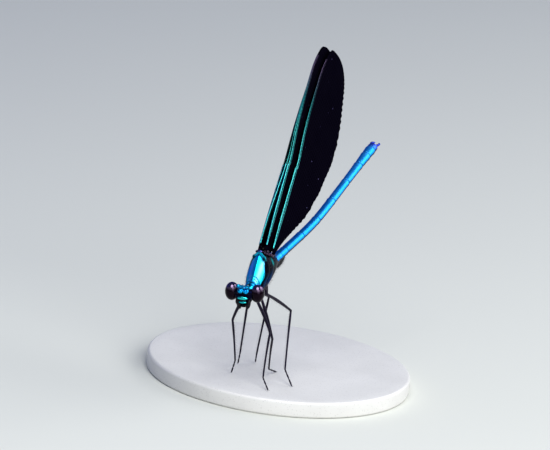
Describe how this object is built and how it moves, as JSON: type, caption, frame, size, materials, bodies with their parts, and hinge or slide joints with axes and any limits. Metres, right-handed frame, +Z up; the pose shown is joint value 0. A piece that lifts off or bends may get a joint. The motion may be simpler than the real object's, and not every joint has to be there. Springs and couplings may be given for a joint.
{
  "type": "damselfly",
  "caption": "Life-size metallic blue and black damselfly with dark wings folded over its back, standing on a round display base.",
  "frame": {"origin": "middle of the base's underside, on the floor", "axes": "+Z up, -Y the way the head points, +X to the insect's left"},
  "size_m": [0.04, 0.0494, 0.0512],
  "materials": {
    "thorax_cuticle": "metallic royal blue and turquoise insect cuticle, satin gloss, with fine hairs",
    "abdomen_cuticle": "metallic blue cuticle with a lighter blue sheen, smooth gloss",
    "head_cuticle": "black cuticle with metallic blue and turquoise face plates",
    "compound_eye": "very dark red-brown facetted compound eye, glossy",
    "black_cuticle": "black cuticle, satin",
    "leg_cuticle": "black, slightly purple cuticle with fine bristles, satin",
    "wing_membrane": "velvet black wing membrane with a violet sheen, metallic turquoise veins along the leading edge",
    "base_satin": "pale warm grey cast resin, satin"
  },
  "bodies": {
    "root": {"stand_base": "base_satin", "head": "head_cuticle", "eye_left": "compound_eye", "eye_right": "compound_eye", "antenna_left": "leg_cuticle", "antenna_right": "leg_cuticle", "prothorax": "thorax_cuticle", "thorax": "thorax_cuticle", "abdomen_01": "abdomen_cuticle", "abdomen_02": "abdomen_cuticle", "abdomen_03": "abdomen_cuticle", "abdomen_04": "abdomen_cuticle", "abdomen_05": "abdomen_cuticle", "abdomen_06": "abdomen_cuticle", "abdomen_07": "abdomen_cuticle", "abdomen_08": "abdomen_cuticle", "abdomen_09": "abdomen_cuticle", "abdomen_10": "abdomen_cuticle", "genital_lobe": "black_cuticle", "clasper_left": "black_cuticle", "clasper_right": "black_cuticle", "lower_clasper_left": "black_cuticle", "lower_clasper_right": "black_cuticle", "forewing_left": "wing_membrane", "forewing_right": "wing_membrane", "hindwing_left": "wing_membrane", "hindwing_right": "wing_membrane", "coxa_fore_left": "leg_cuticle", "femur_fore_left": "leg_cuticle", "tibia_fore_left": "leg_cuticle", "tarsus_fore_left": "leg_cuticle", "coxa_fore_right": "leg_cuticle", "femur_fore_right": "leg_cuticle", "tibia_fore_right": "leg_cuticle", "tarsus_fore_right": "leg_cuticle", "coxa_mid_left": "leg_cuticle", "femur_mid_left": "leg_cuticle", "tibia_mid_left": "leg_cuticle", "tarsus_mid_left": "leg_cuticle", "coxa_mid_right": "leg_cuticle", "femur_mid_right": "leg_cuticle", "tibia_mid_right": "leg_cuticle", "tarsus_mid_right": "leg_cuticle", "coxa_hind_left": "leg_cuticle", "femur_hind_left": "leg_cuticle", "tibia_hind_left": "leg_cuticle", "tarsus_hind_left": "leg_cuticle", "coxa_hind_right": "leg_cuticle", "femur_hind_right": "leg_cuticle", "tibia_hind_right": "leg_cuticle", "tarsus_hind_right": "leg_cuticle"}
  },
  "joints": []
}
